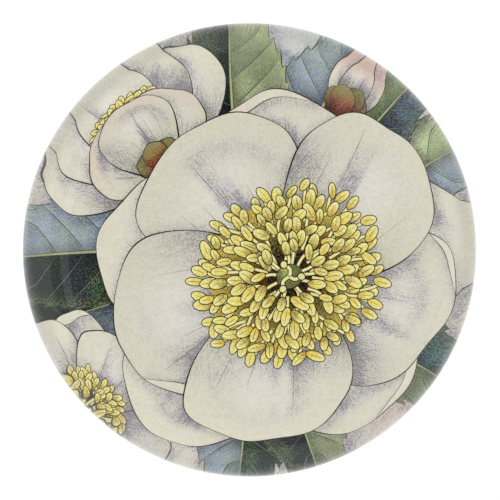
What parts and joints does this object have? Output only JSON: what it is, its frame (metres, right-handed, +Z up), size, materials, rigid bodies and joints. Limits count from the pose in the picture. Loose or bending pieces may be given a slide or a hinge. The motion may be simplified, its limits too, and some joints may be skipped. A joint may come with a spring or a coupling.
{
  "type": "domed glass paperweight",
  "caption": "Solid clear glass dome on a round flower print, with a felt disc under it, that rests on papers or a desk.",
  "frame": {"origin": "centre of the felt's flat underside, where the paperweight stands", "axes": "+Z up through the top of the dome; +Y towards the top edge of the printed picture; +X to its right"},
  "size_m": [0.0826, 0.0826, 0.03],
  "materials": {
    "clear_glass": "polished clear glass, faintly cool in the thickness, with no tint on its surface",
    "printed_paper": "ivory paper printed with ink outlines, pencil-like shading and pale hand-tinted colours",
    "green_felt": "dense dark green wool felt with a matt fibrous surface"
  },
  "bodies": {
    "root": {"glass_dome": "clear_glass", "printed_paper": "printed_paper", "felt_base": "green_felt"}
  },
  "joints": []
}
